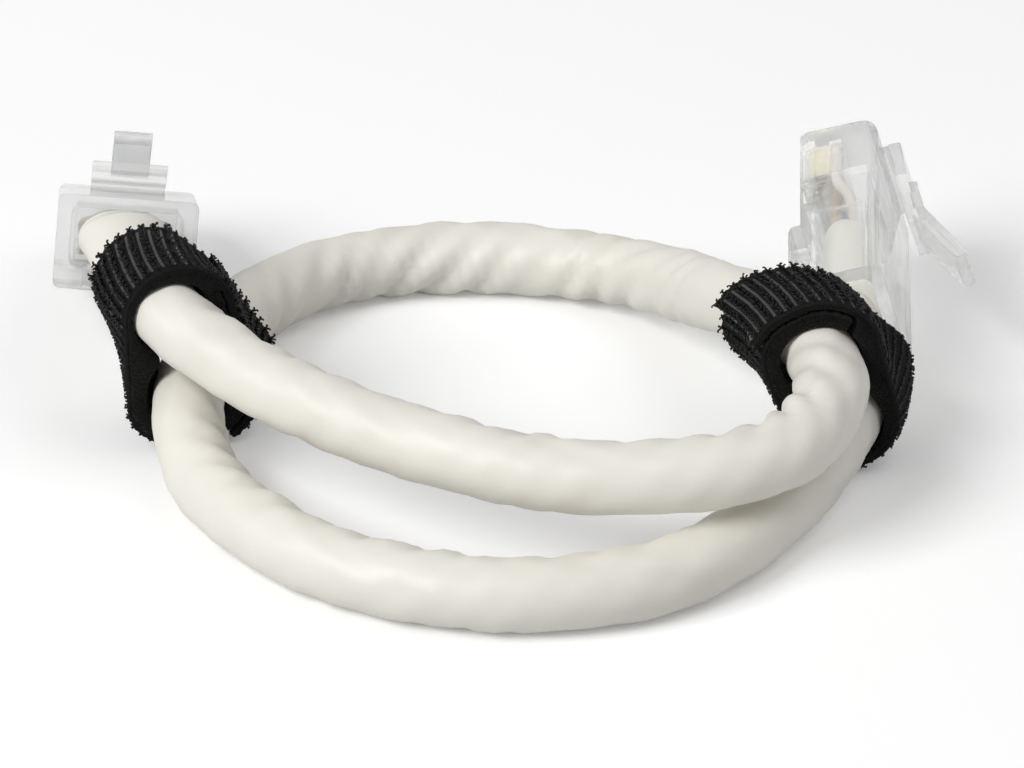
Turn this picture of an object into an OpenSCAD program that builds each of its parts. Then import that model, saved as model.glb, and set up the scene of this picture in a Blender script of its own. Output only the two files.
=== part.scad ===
// Ethernet patch cable: a short round cable wound one and a half turns, held by two
// hook-and-loop ties, with a clear 8P8C plug on each end.
// Millimetres. +Z is up, the cable lies on the plane z = 0, and the origin is below the
// middle of the outline.

/* [Cable] */
// Outer diameter of the jacket
cable_d = 5.9; // [5.5:0.1:6.1]
// Wall of the jacket
jacket_wall = 0.5; // [0.4:0.05:0.6]
// Diameter over one twisted pair
pair_d = 1.7; // [1.4:0.05:1.75]
// Thickness of the cross-shaped separator between the pairs
separator_t = 0.25; // [0.2:0.05:0.3]
// Clearance between the pairs, the separator and the jacket
core_clearance = 0.05; // [0.02:0.01:0.08]
// How much wider the jacket is where a plug clamps it, as a factor
clamped_width = 1.25; // [1.1:0.05:1.3]
// How much thinner the jacket is where a plug clamps it, as a factor
clamped_height = 0.78; // [0.7:0.02:0.8]

/* [Plug housing] */
// Width of the plug
plug_w = 11.7; // [11.5:0.05:12]
// Length of the plug
plug_l = 21.7; // [21:0.1:23]
// Height of the plug over its nose
nose_h = 6.7; // [6.5:0.05:7]
// Height of the plug over its rear boss
rear_h = 7.9; // [7.6:0.05:8.6]
// Length of the rear boss
rear_l = 8; // [6.5:0.1:8.5]
// Wall over the cable on the latch side
latch_side_wall = 1.1; // [0.8:0.05:1.4]
// Side wall of the cable pocket
side_wall = 1.2; // [1:0.05:1.4]
// Floor of the cable pocket over the nose's contact side
floor_wall = 0.6; // [0.5:0.05:0.65]
// Radius of the nose's edge on the latch side
nose_edge_r = 1.6; // [0.8:0.1:1.8]
// Radius of the long edges
long_edge_r = 0.6; // [0.3:0.05:0.8]
// Clearance around the jacket in the pocket, on the latch side
pocket_clearance = 0.15; // [0.1:0.05:0.3]
// How far the jacket goes into the plug
jacket_grip = 10; // [8.5:0.5:11]
// Depth of the cable pocket from the rear face
pocket_depth = 16.2; // [15:0.1:17]

/* [Strain relief] */
// Width of the pressed-in clamp bar
clamp_w = 6.2; // [5:0.1:7]
// Slot on each side of the clamp bar
clamp_slot = 0.35; // [0.25:0.05:0.5]
// Clearance left under the clamp bar's edge, over the jacket
clamp_clearance = 0.05; // [0.02:0.01:0.1]
// Depth of the recess that presses the conductors together
wire_recess = 0.9; // [0.5:0.1:1.1]

/* [Contacts] */
// Pitch of the contacts and conductors
pitch = 1.02; // [1:0.01:1.05]
// Thickness of a contact blade
contact_t = 0.35; // [0.3:0.01:0.4]
// Length of a contact blade
contact_l = 4.2; // [3.6:0.1:4.6]
// How deep the blades' edges lie below the nose's surface
contact_recess = 0.55; // [0.4:0.05:0.7]
// Clearance on each side of a blade in its slot
contact_clearance = 0.06; // [0.03:0.01:0.08]
// Wall in front of the blades
nose_wall = 1.1; // [0.9:0.1:1.5]
// Length of a piercing tooth
tooth_l = 0.6; // [0.4:0.05:0.7]

/* [Conductors] */
// Diameter over the insulation
wire_d = 0.92; // [0.8:0.02:0.94]
// Clearance around the conductors in their channel
wire_clearance = 0.08; // [0.05:0.01:0.12]

/* [Latch] */
// Width of the latch at its shoulders
latch_w = 6.4; // [5.9:0.1:6.5]
// Width of the latch's finger tail
tail_w = 3.2; // [3:0.1:3.4]
// Height of the rolled root's front above the plug
root_h = 1.45; // [1.2:0.05:1.6]
// Thickness of the arm
latch_t = 0.95; // [0.8:0.05:1]
// Height of the locking shoulders' outer face above the plug
shoulder_h = 2.75; // [2.6:0.05:2.9]
// Distance from the nose to the locking shoulders
shoulder_from_nose = 6.8; // [6.2:0.1:7]
// Step up from the arm to the shoulders
shoulder_step = 0.75; // [0.5:0.05:0.9]
// Length of the thick part behind the shoulders' face
shoulder_l = 1.7; // [1.3:0.1:2]
// Height of the tail's outer tip above the plug
tail_h = 6.6; // [6:0.1:7]
// Distance from the rear face to the tail's tip
tail_from_rear = 5.1; // [4.5:0.1:7]
// Thickness of the tail
tail_t = 1.15; // [1:0.05:1.3]
// Radius of the rolled root that the latch turns on
root_r = 0.55; // [0.45:0.05:0.6]
// Running clearance around the root
root_clearance = 0.05; // [0.03:0.01:0.09]
// How far the first plug's latch already leans in, in degrees
latch_lean_a = 4; // [0:0.5:5]

/* [Ties] */
// Width of a tie
tie_w = 6.4; // [6:0.1:7]
// Thickness of the hook tape
hook_tape_t = 0.35; // [0.3:0.05:0.45]
// Thickness of the loop lining
lining_t = 0.45; // [0.35:0.05:0.5]
// Bond between the tape and the lining
bond_t = 0.02; // [0.01:0.01:0.04]
// Room between the lining and the cable
tie_clearance = 0.2; // [0.15:0.05:0.3]
// Room between the overlapping ends
overlap_clearance = 0.12; // [0.08:0.01:0.2]
// Spare room over the upper strand at the right tie's front edge
front_slack = 0.6; // [0:0.1:1.5]
// Spare room over the upper strand at the right tie's back edge
back_slack = 0.3; // [0:0.1:1]

/* [Hidden] */
cable_r = cable_d / 2;
bore_r = cable_r - jacket_wall;
floor_z = cable_r + 0.03;

// The route's middle lies here, so that the outline's middle is over the origin
outline_mid = [-0.5, 2.5, 0];

// Plug poses: where the cable's axis crosses the rear face, then heading, pitch and roll
plug_a_at = [-32, 13.5, 12.9];
plug_a_turn = [-4.3, -25.8, 6.4];
plug_b_at = [28.4, 8.6, 7.3];
plug_b_turn = [2, 6, 74];

// How far the cable runs straight out of a plug
exit_l = 1.5;

// The route of the cable from the first plug to the second
free_route = [
    [-31, 8.5, 12.9], [-28.2, 1.8, 12.7], [-22.5, -4.2, 11.2],
    [-15, -10.2, 10.4], [-7, -14.8, 9.8], [1.5, -18, 9.4], [10, -19.3, 9.5],
    [17, -18.4, 9.8], [22.2, -15.4, 10.1], [25.2, -10, 10.3], [25.6, -4.5, 10.5],
    [24.2, 0.5, 10.6], [21.4, 5.4, 10.4], [18.3, 10.4, 8.9], [16, 15.8, 6.7],
    [12.5, 21.6, 4.8], [7, 26.4, 3.3], [0, 28.4, floor_z], [-8, 28.4, floor_z],
    [-15.5, 25.8, 3.1], [-20.8, 20, 3.8], [-24, 13.2, 4.5], [-26.1, 6, 4.7],
    [-26.5, -1.5, 4.6], [-24.6, -9, 3.1], [-20, -16.5, floor_z],
    [-12.5, -22.6, floor_z], [-3.5, -25.8, floor_z], [5.5, -25.7, floor_z],
    [14, -22, floor_z], [20.6, -14.4, floor_z], [24.9, -7, 3.8], [27.4, -0.7, 4.5],
    [28.2, 3.4, 5.9]];

// Rings per stretch between two points, and the sides of the tubes
stretch_steps = 2;
jacket_sides = 12;
pair_sides = 5;
wire_sides = 8;

// Plug heights, measured from the cable's axis with the latch side up
plug_top = cable_r * clamped_height + pocket_clearance + latch_side_wall;
nose_bottom = plug_top - nose_h;
rear_bottom = plug_top - rear_h;
pocket_top = plug_top - latch_side_wall;
pocket_bottom = nose_bottom + floor_wall;
pocket_w = plug_w - 2 * side_wall;
clamp_tip_z = -cable_r * clamped_height - clamp_clearance;

// Conductor channel and contacts
wires = 8;
wire_z = -0.3;
wire_end_gap = 0.25;
channel_top = wire_z + wire_d / 2 + wire_clearance;
channel_bottom = wire_z - wire_d / 2 - wire_clearance;
channel_w = (wires - 1) * pitch + wire_d + 2 * wire_clearance;
channel_end = plug_l - nose_wall + 0.35;
contact_y0 = plug_l - nose_wall - contact_l;
contact_z0 = nose_bottom + contact_recess;
contact_slot_w = contact_t + 2 * contact_clearance;
tooth_tip_z = wire_z + wire_d * 0.2;

// Latch, measured from the turning axis at the nose
root_y = plug_l - 1.25;
root_z = plug_top + 0.1;
latch_gap = 0.14;
shoulder_y = plug_l - shoulder_from_nose;
shoulder_end_y = shoulder_y - shoulder_l;
arm_top_z = plug_top + shoulder_h - shoulder_step;
arm_under_z = arm_top_z - latch_t;

// Ties: the ends of each across the cables, its overlap, and the two strands it holds
tie_layer = lining_t + bond_t + hook_tape_t;
tie_steps = 36;
tie_slices = 3;
left_tie_y = 0.9;
right_tie_y = -2.6;
left_tie_start = 40;
left_tie_overlap = 100;
right_tie_start = 80;
right_tie_overlap = 80;

$fn = 48;

// ---------- Vectors and curves ----------

function unit(v) = v / norm(v);
function mix(a, b, t) = a + (b - a) * t;
function clamp01(t) = min(1, max(0, t));
function smooth(t) = let (c = clamp01(t)) c * c * (3 - 2 * c);

// Catmull-Rom point between b and c
function curve_point(a, b, c, d, t) =
    0.5 * (2 * b + (c - a) * t + (2 * a - 5 * b + 4 * c - d) * t * t
           + (3 * b - a - 3 * c + d) * t * t * t);
function curve(p, steps) = let (n = len(p))
    concat([for (i = [0 : n - 2]) for (k = [0 : steps - 1])
        curve_point(p[max(i - 1, 0)], p[i], p[i + 1], p[min(i + 2, n - 1)], k / steps)],
        [p[n - 1]]);

// ---------- Plug pose ----------

// A direction in a plug's own axes, turned into the model's: roll, then pitch, then heading
function turned(v, turn) = let (
    h = -turn[0], p = turn[1], r = turn[2],
    a = [v.x * cos(r) + v.z * sin(r), v.y, -v.x * sin(r) + v.z * cos(r)],
    b = [a.x, a.y * cos(p) - a.z * sin(p), a.y * sin(p) + a.z * cos(p)])
    [b.x * cos(h) - b.y * sin(h), b.x * sin(h) + b.y * cos(h), b.z];
function in_plug(at, turn, y) = at + turned([0, y, 0], turn);

module plug_pose(at, turn) {
    translate(at) rotate([0, 0, -turn[0]]) rotate([turn[1], 0, 0]) rotate([0, turn[2], 0])
        children();
}

// ---------- The cable's path and its cross-sections ----------

route = concat(
    [for (y = [jacket_grip, 0, -exit_l]) in_plug(plug_a_at, plug_a_turn, y)],
    free_route,
    [for (y = [-exit_l, 0, jacket_grip]) in_plug(plug_b_at, plug_b_turn, y)]);
path = curve(route, stretch_steps);
rings = len(path);

clamped_rings = stretch_steps;
eased_rings = 3 * stretch_steps;
untwist_rings = 12 * stretch_steps;

function tangent(i) = unit(path[min(i + 1, rings - 1)] - path[max(i - 1, 0)]);
// 1 where a plug clamps the jacket, 0 along the free cable
function clamped(i) = let (e = min(i, rings - 1 - i))
    1 - smooth((e - clamped_rings) / eased_rings);
// The turn of the section about the cable, which follows each plug's roll
function section_roll(i) =
    -plug_a_turn[2] * (1 - smooth((i - clamped_rings) / untwist_rings))
    + plug_b_turn[2] * (1 - smooth((rings - 1 - clamped_rings - i) / untwist_rings));
function section_axes(i) = let (
    t = tangent(i),
    up = unit([0, 0, 1] - t.z * t),
    side = cross(t, up),
    r = section_roll(i),
    high = up * cos(r) + side * sin(r))
    [cross(high, t) * (1 + (clamped_width - 1) * clamped(i)),
     high * (1 + (clamped_height - 1) * clamped(i))];
// A flat outline placed on ring i
function section(i, outline) = let (axes = section_axes(i))
    [for (p = outline) path[i] + axes[0] * p.x + axes[1] * p.y];

function regular(r, sides, mid = [0, 0], turn = 0) =
    [for (k = [0 : sides - 1]) mid + r * [cos(360 * k / sides + turn), sin(360 * k / sides + turn)]];

// Side faces between rings of n points each
function side_faces(count, n, first = 0, flip = false) =
    [for (i = [0 : count - 2]) for (k = [0 : n - 1]) let (
        a = first + i * n + k, b = first + i * n + (k + 1) % n, c = b + n, d = a + n)
        each (flip ? [[a, b, c], [a, c, d]] : [[a, c, b], [a, d, c]])];

// A solid swept through rings of points
module swept(sections) {
    n = len(sections[0]);
    count = len(sections);
    polyhedron([for (s = sections) each s],
        concat(side_faces(count, n),
            [[for (k = [0 : n - 1]) k]],
            [[for (k = [n - 1 : -1 : 0]) (count - 1) * n + k]]), convexity = 12);
}

// A pipe swept through rings of outer and inner points
module swept_pipe(outer, inner) {
    n = len(outer[0]);
    count = len(outer);
    m = n * count;
    polyhedron(concat([for (s = outer) each s], [for (s = inner) each s]),
        concat(side_faces(count, n), side_faces(count, n, m, true),
            [for (k = [0 : n - 1]) let (j = (k + 1) % n) each [[k, j, m + j], [k, m + j, m + k]]],
            [for (k = [0 : n - 1]) let (j = (k + 1) % n, e = m - n) each
                [[e + j, e + k, m + e + k], [e + j, m + e + k, m + e + j]]]), convexity = 12);
}

// Least gap of the wound tube to itself, on its rings
ring_way = [for (i = 0, s = 0; i < rings;
    s = s + (i < rings - 1 ? norm(path[i + 1] - path[i]) : 0), i = i + 1) s];
self_gap = min([for (i = [0 : rings - 1]) for (j = [i + 1 : 1 : rings - 1])
    if (ring_way[j] - ring_way[i] > 5 * cable_d) norm(path[i] - path[j]) - cable_d]);
echo(cable_length = ring_way[rings - 1], least_gap = self_gap);

// ---------- Cable ----------

module cable_jacket() {
    color("whitesmoke")
        swept_pipe([for (i = [0 : rings - 1]) section(i, regular(cable_r, jacket_sides))],
                   [for (i = [0 : rings - 1]) section(i, regular(bore_r, jacket_sides))]);
}

pair_off = pair_d / 2 + separator_t / 2 + core_clearance;
core_inset = 0.2;

// The core's rings stop a little inside the jacket's ends
function core_section(i, outline) = let (
    s = section(i, outline), t = tangent(i),
    shift = i == 0 ? core_inset : i == rings - 1 ? -core_inset : 0)
    [for (p = s) p + t * shift];

module pair(quarter, tint) {
    mid = pair_off * [quarter == 0 || quarter == 3 ? 1 : -1, quarter < 2 ? 1 : -1];
    color(tint) swept([for (i = [0 : rings - 1])
        core_section(i, regular(pair_d / 2, pair_sides, mid))]);
}

module separator() {
    a = separator_t / 2;
    b = bore_r * cos(180 / jacket_sides) - 2 * core_clearance;
    outline = [[a, a], [a, b], [-a, b], [-a, a], [-b, a], [-b, -a],
               [-a, -a], [-a, -b], [a, -b], [a, -a], [b, -a], [b, a]];
    n = len(outline);
    count = rings;
    caps = [[3, 0, 1], [3, 1, 2], [6, 3, 4], [6, 4, 5], [9, 6, 7], [9, 7, 8], [0, 9, 10],
            [0, 10, 11], [0, 3, 6], [0, 6, 9]];
    color("gainsboro") polyhedron(
        [for (i = [0 : count - 1]) each core_section(i, outline)],
        concat(side_faces(count, n),
            caps, [for (f = caps) [for (k = [2 : -1 : 0]) (count - 1) * n + f[k]]]), convexity = 12);
}

// ---------- Ties ----------

// The section of the cable by the plane y, between two rings: middle and direction
function crossing(first, last, y) = [for (i = [first : last - 1])
    if ((path[i].y - y) * (path[i + 1].y - y) <= 0 && path[i].y != path[i + 1].y)
        [mix(path[i], path[i + 1], (y - path[i].y) / (path[i + 1].y - path[i].y)),
         unit(path[i + 1] - path[i])]][0];

// The ring numbers where each strand passes its tie
left_upper = [2, 12];
left_lower = [40, 56];
right_upper = [20, 36];
right_lower = [62, rings - 2];

// Spare room beside a tie's strands, across and up, at its front and its back edge
no_slack = [[0, 0], [0, 0]];
left_upper_slack = [[2, -0.3], [2.6, -2.6]];
left_lower_slack = [[1.2, 0], [0.6, 0]];
right_upper_slack = [[0, front_slack], [0, back_slack]];

// Furthest point of a strand's section along n; the section is an ellipse where it runs askew
function reach(strand, n) = let (
    w = [strand[1].x, strand[1].z] / strand[1].y, k = w * n, r = cable_r + tie_clearance)
    strand[0] + (n + w * k) * r / sqrt(1 + k * k);
// Outline point of a band that is drawn tight round the strands, for a normal angle
function band_point(strands, a, out) = let (
    n = [cos(a), sin(a)], points = [for (s = strands) reach(s, n)],
    far = max([for (p = points) p * n]))
    [for (p = points) if (p * n == far) p][0] + out * n;

// A strip wound along the band, from one depth to another, with its end lapped over its start
module wound_strip(upper, lower, y0, start, overlap, way, slack, depth0, depth1) {
    full = 360 + overlap;
    steps = full / 360 * tie_steps;
    lift = tie_layer + overlap_clearance;
    row = tie_slices + 1;
    m = row * (steps + 1);
    slices = [for (j = [0 : tie_slices]) [
        for (k = [0, 1]) let (
            window = k == 0 ? upper : lower,
            c = crossing(window[0], window[1], y0 + tie_w * j / tie_slices),
            mid = [c[0].x, c[0].z],
            spare = mix(slack[k][0], slack[k][1], j / tie_slices))
            each [[mid + spare, c[1]], [mid, c[1]]]]];
    function rows(depth) = [for (k = [0 : steps]) let (
        turn = full * k / steps, grow = lift * smooth((turn - 225) / 135))
        for (j = [0 : tie_slices]) let (
            p = band_point(slices[j], start + way * turn, depth + grow))
            [p.x, y0 + tie_w * j / tie_slices, p.y]];
    function quads(a, b, c, d) = way > 0 ? [[a, b, c], [a, c, d]] : [[a, c, b], [a, d, c]];
    polyhedron(concat(rows(depth0), rows(depth1)), concat(
        [for (k = [0 : steps - 1]) for (j = [0 : tie_slices - 1]) let (a = k * row + j) each concat(
            quads(a, a + 1, a + row + 1, a + row),
            [for (f = quads(a, a + 1, a + row + 1, a + row)) [m + f[0], m + f[2], m + f[1]]])],
        [for (k = [0 : steps - 1]) let (a = k * row, b = a + tie_slices) each concat(
            quads(a, a + row, m + a + row, m + a), quads(b, m + b, m + b + row, b + row))],
        [for (j = [0 : tie_slices - 1]) let (a = j, b = steps * row + j) each concat(
            quads(a, m + a, m + a + 1, a + 1), quads(b, b + 1, m + b + 1, m + b))]),
        convexity = 12);
}

module left_strip(depth0, depth1) {
    wound_strip(left_upper, left_lower, left_tie_y, left_tie_start, left_tie_overlap, -1,
                [left_upper_slack, left_lower_slack], depth0, depth1);
}

module right_strip(depth0, depth1) {
    wound_strip(right_upper, right_lower, right_tie_y, right_tie_start, right_tie_overlap, 1,
                [right_upper_slack, no_slack], depth0, depth1);
}

module tie_left_loop_lining() { color("dimgray") left_strip(0, lining_t); }
module tie_left_hook_tape() { color("black") left_strip(lining_t + bond_t, tie_layer); }
module tie_right_loop_lining() { color("dimgray") right_strip(0, lining_t); }
module tie_right_hook_tape() { color("black") right_strip(lining_t + bond_t, tie_layer); }

// ---------- Plug ----------

// A side view [y, z], drawn across the plug's width
module across(width) {
    rotate([90, 0, 90]) linear_extrude(height = width, center = true) children();
}

// A rear view [x, z], drawn along the plug
module along(y0, y1) {
    translate([0, y1, 0]) rotate([90, 0, 0]) linear_extrude(height = y1 - y0) children();
}

// Points of an arc, for an outline
function arc(mid, r, from, to, steps = 6) =
    [for (k = [0 : steps]) mid + r * [cos(mix(from, to, k / steps)), sin(mix(from, to, k / steps))]];

// A rectangle with rounded corners, by its low and high corners
module rounded(low, high, r) {
    polygon(concat(arc([high.x - r, high.y - r], r, 0, 90, 4), arc([low.x + r, high.y - r], r, 90, 180, 4),
                   arc([low.x + r, low.y + r], r, 180, 270, 4), arc([high.x - r, low.y + r], r, 270, 360, 4)));
}

module housing_body() {
    rear_chamfer = 0.4;
    nose_chamfer = 0.5;
    intersection() {
        across(plug_w + 1) polygon(concat(
            [[0, rear_bottom], [rear_l - rear_chamfer, rear_bottom], [rear_l, rear_bottom + rear_chamfer],
             [rear_l, nose_bottom], [plug_l - nose_chamfer, nose_bottom],
             [plug_l, nose_bottom + nose_chamfer]],
            arc([plug_l - nose_edge_r, plug_top - nose_edge_r], nose_edge_r, 0, 90),
            [[0, plug_top]]));
        along(-1, plug_l + 1)
            rounded([-plug_w / 2, rear_bottom], [plug_w / 2, plug_top], long_edge_r);
    }
}

// The space for the cable and the conductors: a mouth that flares at the rear, a pocket
// whose floor climbs to the channel, and the flat channel under the contacts
module cable_space() {
    pocket_r = 0.8;
    slope_start = 10.6;
    slope_end = pocket_depth - 0.3;
    throat_w = channel_w + 0.3;
    along(-1, slope_start)
        rounded([-pocket_w / 2, pocket_bottom], [pocket_w / 2, pocket_top], pocket_r);
    across(throat_w) polygon([
        [slope_start - 0.5, pocket_bottom], [slope_start, pocket_bottom], [slope_end, channel_bottom],
        [pocket_depth, channel_bottom], [pocket_depth, pocket_top], [slope_start - 0.5, pocket_top]]);
    translate([-channel_w / 2, pocket_depth - 0.5, channel_bottom])
        cube([channel_w, channel_end - pocket_depth + 0.5, channel_top - channel_bottom]);
}

// Openings over and in front of each contact blade
module contact_slots() {
    mouth_w = contact_slot_w + 0.15;
    mouth_h = contact_recess + 0.5;
    for (i = [1 : wires]) translate([wire_x(i), 0, 0]) {
        translate([-contact_slot_w / 2, contact_y0 - contact_clearance, nose_bottom - 1])
            cube([contact_slot_w, contact_l + 2 * contact_clearance, channel_bottom - nose_bottom + 1.1]);
        translate([-mouth_w / 2, contact_y0 - 0.4, nose_bottom - 1])
            cube([mouth_w, plug_l - contact_y0 + 1.4, mouth_h + 1]);
    }
}

// The window that the clamp bar is pressed through, and the recess over the conductors
module clamp_window() {
    w = clamp_w + 2 * clamp_slot;
    translate([-w / 2, clamp_y0, rear_bottom - 1])
        cube([w, clamp_y1 - clamp_y0, pocket_bottom - rear_bottom + 1.2]);
    translate([-channel_w / 2, wire_clamp_y, nose_bottom - 1])
        cube([channel_w, wire_clamp_l, wire_recess + 1]);
}

clamp_y0 = 1.9;
clamp_y1 = 6.4;
wire_clamp_y = 12.4;
wire_clamp_l = 2.2;

// The clamp bar hangs from the window's front edge and leans in on the jacket
module clamp_bar() {
    bar_root_h = 1;
    tip_y = clamp_y0 + 0.7;
    across(clamp_w) polygon([
        [clamp_y1 + 0.1, rear_bottom + 0.3], [clamp_y1 + 0.1, rear_bottom + 0.3 + bar_root_h],
        [clamp_y1 - 0.8, pocket_bottom + 0.1], [tip_y + 1.4, clamp_tip_z], [tip_y + 0.4, clamp_tip_z],
        [tip_y, clamp_tip_z - 0.5], [tip_y + 0.3, pocket_bottom - 0.9],
        [clamp_y1 - 1.4, rear_bottom + 0.3]]);
}

module root_groove() {
    translate([0, root_y, root_z]) rotate([0, 90, 0])
        cylinder(r = root_r + root_clearance, h = latch_w + 0.4, center = true);
}

module plug_housing() {
    union() {
        difference() {
            housing_body();
            cable_space();
            contact_slots();
            clamp_window();
            root_groove();
        }
        clamp_bar();
    }
}

// Latch: a rolled root, a thin arm, locking shoulders and a narrow finger tail
module plug_latch() {
    front_y = root_y + 0.75;
    tail_tip = [tail_from_rear, plug_top + tail_h];
    tail_start = [shoulder_end_y, plug_top + shoulder_h + 0.15];
    run = unit(tail_tip - tail_start);
    outward = [run.y, -run.x];
    tip_mid = tail_tip - outward * tail_t / 2 - run * tail_t / 2;
    tip_angle = atan2(run.y, run.x);
    translate([0, root_y, root_z]) rotate([0, 90, 0]) cylinder(r = root_r, h = latch_w, center = true);
    across(latch_w) polygon(concat(
        [[front_y, plug_top + 0.35]],
        arc([front_y - 0.35, plug_top + root_h - 0.35], 0.35, 0, 80, 3),
        [[shoulder_y, arm_top_z], [shoulder_y - 0.1, plug_top + shoulder_h], tail_start,
         [shoulder_end_y, arm_under_z + 0.3], [shoulder_y, arm_under_z],
         [root_y - root_r, plug_top + latch_gap], [root_y, root_z]]));
    across(tail_w) polygon(concat(
        [[shoulder_y - 0.4, arm_under_z + 0.4], [shoulder_y - 0.4, plug_top + shoulder_h - 0.1], tail_start],
        arc(tip_mid, tail_t / 2, tip_angle - 90, tip_angle + 90, 8),
        [tail_start - outward * tail_t]));
}

// Contact blade with three teeth that pierce the conductor's insulation
module contact_blade() {
    step = contact_l / 3;
    front_r = 0.5;
    root = tooth_tip_z - tooth_l;
    across(contact_t) polygon(concat(
        [[contact_y0, contact_z0 + 0.3], [contact_y0 + 0.3, contact_z0]],
        arc([contact_y0 + contact_l - front_r, contact_z0 + front_r], front_r, 270, 360, 4),
        [[contact_y0 + contact_l, root]],
        [for (k = [2 : -1 : 0]) each [
            [contact_y0 + (k + 0.5) * step, tooth_tip_z], [contact_y0 + k * step, root]]]));
}

// ---------- Conductors ----------

function wire_x(i) = (i - (wires + 1) / 2) * pitch;

// Conductors leave the cable in two rows of four and fan out into one row
wire_row = [1, -1, 1, -1, -1, 1, -1, 1];
wire_column = [-1.5, -1.5, -0.5, -0.5, 0.5, 0.5, 1.5, 1.5];
fan_start = jacket_grip + 0.25;
fan_end = pocket_depth - 0.3;
fan_steps = 8;

function wire_point(i, s) = let (
    x0 = wire_column[i - 1] * (wire_d + 0.1), z0 = wire_row[i - 1] * (wire_d / 2 + 0.35))
    [mix(x0, wire_x(i), smooth(s / 0.62)), mix(fan_start, fan_end, s),
     mix(z0, wire_z, smooth((s - 0.38) / 0.62))];

module conductor(i) {
    points = concat([for (k = [0 : fan_steps]) wire_point(i, k / fan_steps)],
        [[wire_x(i), channel_end - wire_end_gap, wire_z]]);
    n = len(points);
    slot = contact_t + 2 * contact_clearance;
    difference() {
        swept([for (k = [0 : n - 1]) let (
            t = unit(points[min(k + 1, n - 1)] - points[max(k - 1, 0)]),
            side = unit(cross([0, 0, 1], t)), up = cross(t, side))
            [for (p = regular(wire_d / 2, wire_sides, [0, 0], 180 / wire_sides))
                points[k] + side * p.x + up * p.y]]);
        translate([wire_x(i) - slot / 2, contact_y0 - 0.1, wire_z - wire_d])
            cube([slot, contact_l + 0.2, wire_d + tooth_tip_z - wire_z + 0.05]);
    }
}

wire_tint = ["snow", "darkorange", "honeydew", "royalblue", "aliceblue", "seagreen", "linen",
             "saddlebrown"];

// ---------- Drawing ----------

module plug_piece(plug, part) {
    at = plug == "a" ? plug_a_at : plug_b_at;
    turn = plug == "a" ? plug_a_turn : plug_b_turn;
    lean = plug == "a" ? latch_lean_a : 0;
    plug_pose(at, turn) {
        if (part == "housing") color("azure", 0.5) plug_housing();
        if (part == "latch") color("azure", 0.5)
            translate([0, root_y, root_z]) rotate([lean, 0, 0]) translate([0, -root_y, -root_z])
                plug_latch();
        for (i = [1 : wires]) {
            if (part == str("contact_", i)) color("gold") translate([wire_x(i), 0, 0]) contact_blade();
            if (part == str("conductor_", i)) color(wire_tint[i - 1]) conductor(i);
        }
    }
}

module placed() {
    translate(-outline_mid) children();
}

placed() cable_jacket();
placed() separator();
placed() pair(0, "royalblue");  // pair_blue
placed() pair(1, "darkorange");  // pair_orange
placed() pair(2, "seagreen");  // pair_green
placed() pair(3, "saddlebrown");  // pair_brown
placed() tie_left_hook_tape();
placed() tie_left_loop_lining();
placed() tie_right_hook_tape();
placed() tie_right_loop_lining();
for (p = ["a", "b"]) {
    for (part = ["housing", "latch"])
        placed() plug_piece(p, part);
    for (i = [1 : wires]) {
        placed() plug_piece(p, str("contact_", i));
        placed() plug_piece(p, str("conductor_", i));
    }
}
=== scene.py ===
"""Looks for a short network cable: a wound jacket, two hook-and-loop ties and two clear plugs."""

import logging
import math
from dataclasses import dataclass, field
from enum import Enum
from functools import cached_property
from typing import Any, Sequence

import bpy
import numpy as np
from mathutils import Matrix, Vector


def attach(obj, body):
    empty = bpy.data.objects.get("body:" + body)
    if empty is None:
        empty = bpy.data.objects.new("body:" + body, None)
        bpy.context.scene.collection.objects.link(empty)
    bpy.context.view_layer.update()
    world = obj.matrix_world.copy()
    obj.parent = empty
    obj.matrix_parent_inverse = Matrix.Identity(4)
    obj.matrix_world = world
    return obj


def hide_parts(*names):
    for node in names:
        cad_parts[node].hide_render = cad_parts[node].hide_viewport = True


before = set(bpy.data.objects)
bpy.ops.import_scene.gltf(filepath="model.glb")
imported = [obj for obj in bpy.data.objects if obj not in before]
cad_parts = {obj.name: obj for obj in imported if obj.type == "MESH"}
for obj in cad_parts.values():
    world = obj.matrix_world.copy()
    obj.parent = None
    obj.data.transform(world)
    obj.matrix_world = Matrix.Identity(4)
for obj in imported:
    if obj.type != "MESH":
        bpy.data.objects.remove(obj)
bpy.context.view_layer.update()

log = logging.getLogger("patch_cable")

Colour = tuple[float, float, float]
Place = tuple[float, float, float]
Span = tuple[float, float]
Points = np.ndarray
Faces = list[tuple[int, ...]]
Material = bpy.types.Material

MM = 0.001
FULL_TURN = 360.0
PLUGS = ("a", "b")
WIRES = 8
ROOT_BODY = "cable_assembly"
UP = np.array([0.0, 0.0, 1.0])
WHITE: Colour = (1.0, 1.0, 1.0)


# ---------------------------------------------------------------- small helpers


def unit(v: Points) -> Points:
    """Vectors scaled to length 1 along their last axis."""
    return v / np.maximum(np.linalg.norm(v, axis=-1, keepdims=True), 1e-12)


def smooth(t: Any) -> Any:
    """A smooth step from 0 to 1."""
    c = np.clip(t, 0.0, 1.0)
    return c * c * (3 - 2 * c)


def travelled(line: Points) -> Points:
    """The distance along a polyline at each of its points."""
    return np.concatenate([[0], np.cumsum(np.linalg.norm(np.diff(line, axis=0), axis=1))])


def angles(count: int) -> Points:
    """The angles of points spread evenly round a ring."""
    return 2 * math.pi * np.arange(count) / count


def lift(points: Points, lowest: float) -> None:
    """Raises the points that lie lower than a height, in place."""
    points[..., 2] = np.maximum(points[..., 2], lowest)


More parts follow.
